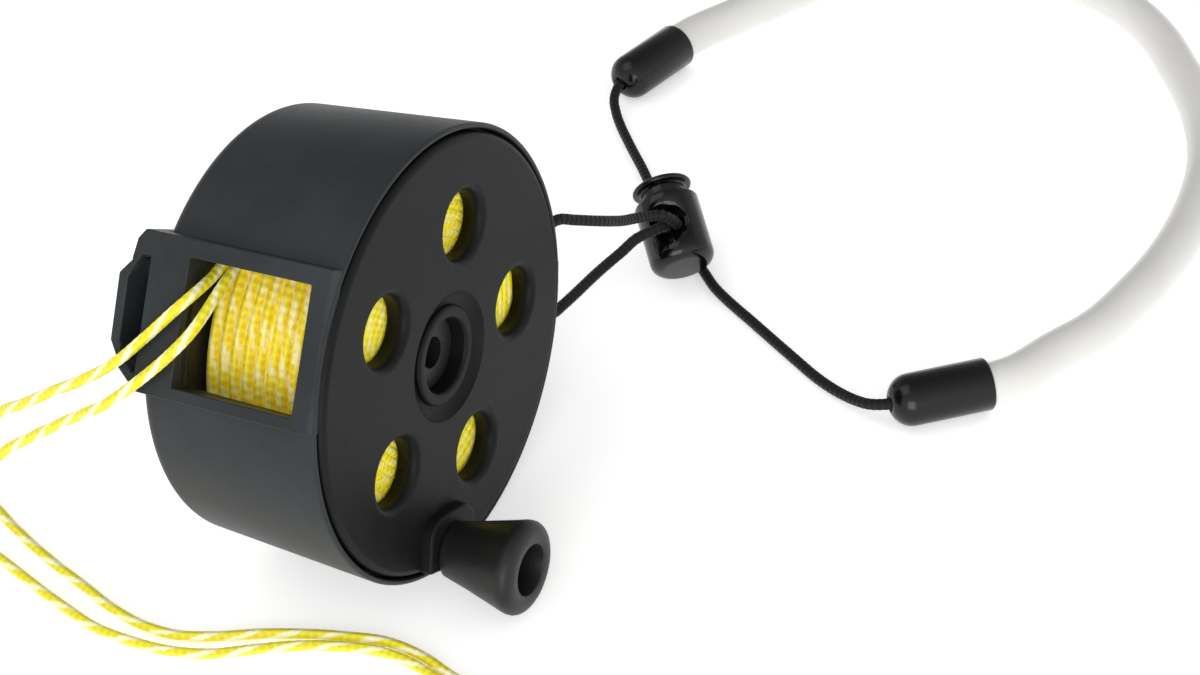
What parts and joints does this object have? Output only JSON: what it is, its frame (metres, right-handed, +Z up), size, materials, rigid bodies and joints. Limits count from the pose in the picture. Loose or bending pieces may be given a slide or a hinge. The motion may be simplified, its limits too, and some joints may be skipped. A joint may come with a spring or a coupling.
{
  "type": "dive reel",
  "caption": "Hand-cranked line reel with a knob on a disc wheel, a window for the line, and a wrist lanyard with a sprung cord lock.",
  "frame": {"origin": "middle of the reel's resting facet, on the floor", "axes": "Z up. The reel axis lies along Y, leaning back by 3.3 degrees, and the crank side faces -Y. The guide plate is on the -X side and the wrist tube on the +X side."},
  "size_m": [0.2734, 0.224, 0.0846],
  "materials": {
    "housing": "satin black moulded plastic",
    "axle": "satin black moulded plastic",
    "axle_screw": "bright",
    "axle_screw_washer": "bright",
    "front_washer": "bright",
    "front_bush": "white nylon",
    "rear_bush": "white nylon",
    "thrust_washer": "white nylon",
    "crank_wheel": "satin black moulded plastic",
    "spool": "satin black moulded plastic",
    "wound_line_core": "yellow braided line",
    "wound_line": "yellow braided line",
    "free_line": "yellow braided line",
    "crank_knob": "satin black moulded plastic",
    "knob_screw": "bright",
    "knob_washer": "bright",
    "knob_insert": "plain",
    "lanyard_cord_upper": "black braided cord",
    "lanyard_cord_lower": "black braided cord",
    "lock_body": "glossy black",
    "lock_plunger": "glossy black",
    "lock_spring": "bright wire",
    "far_cap": "glossy black",
    "near_cap": "glossy black",
    "far_knot": "black braided cord",
    "near_knot": "black braided cord",
    "wrist_tube": "pale translucent tube"
  },
  "bodies": {
    "housing_and_lanyard": {"housing": "housing", "axle": "axle", "axle_screw": "axle_screw", "axle_screw_washer": "axle_screw_washer", "front_washer": "front_washer", "thrust_washer": "thrust_washer", "free_line": "free_line", "lanyard_cord_upper": "lanyard_cord_upper", "lanyard_cord_lower": "lanyard_cord_lower", "lock_body": "lock_body", "lock_spring": "lock_spring", "far_cap": "far_cap", "near_cap": "near_cap", "far_knot": "far_knot", "near_knot": "near_knot", "wrist_tube": "wrist_tube"},
    "spool_and_wheel": {"crank_wheel": "crank_wheel", "spool": "spool", "wound_line_core": "wound_line_core", "wound_line": "wound_line", "front_bush": "front_bush", "rear_bush": "rear_bush", "knob_insert": "knob_insert", "knob_screw": "knob_screw", "knob_washer": "knob_washer"},
    "knob": {"crank_knob": "crank_knob"},
    "plunger": {"lock_plunger": "lock_plunger"}
  },
  "joints": [
    {"name": "spool_spin", "type": "hinge", "parent": "housing_and_lanyard", "child": "spool_and_wheel", "pos_m": [0, 0, 0.04127], "axis": [0, -0.9983, 0.0582], "continuous": true},
    {"name": "knob_spin", "type": "hinge", "parent": "spool_and_wheel", "child": "knob", "pos_m": [-0.01515, -0.03192, 0.00921], "axis": [0, -0.9983, 0.0582], "continuous": true},
    {"name": "plunger_press", "type": "slide", "parent": "housing_and_lanyard", "child": "plunger", "axis": [-0.6898, -0.5809, -0.4321], "range_m": [0, 0.0022], "stiffness_N_per_m": 1000, "springref_m": -0.003, "deforming": ["lock_spring"]}
  ]
}
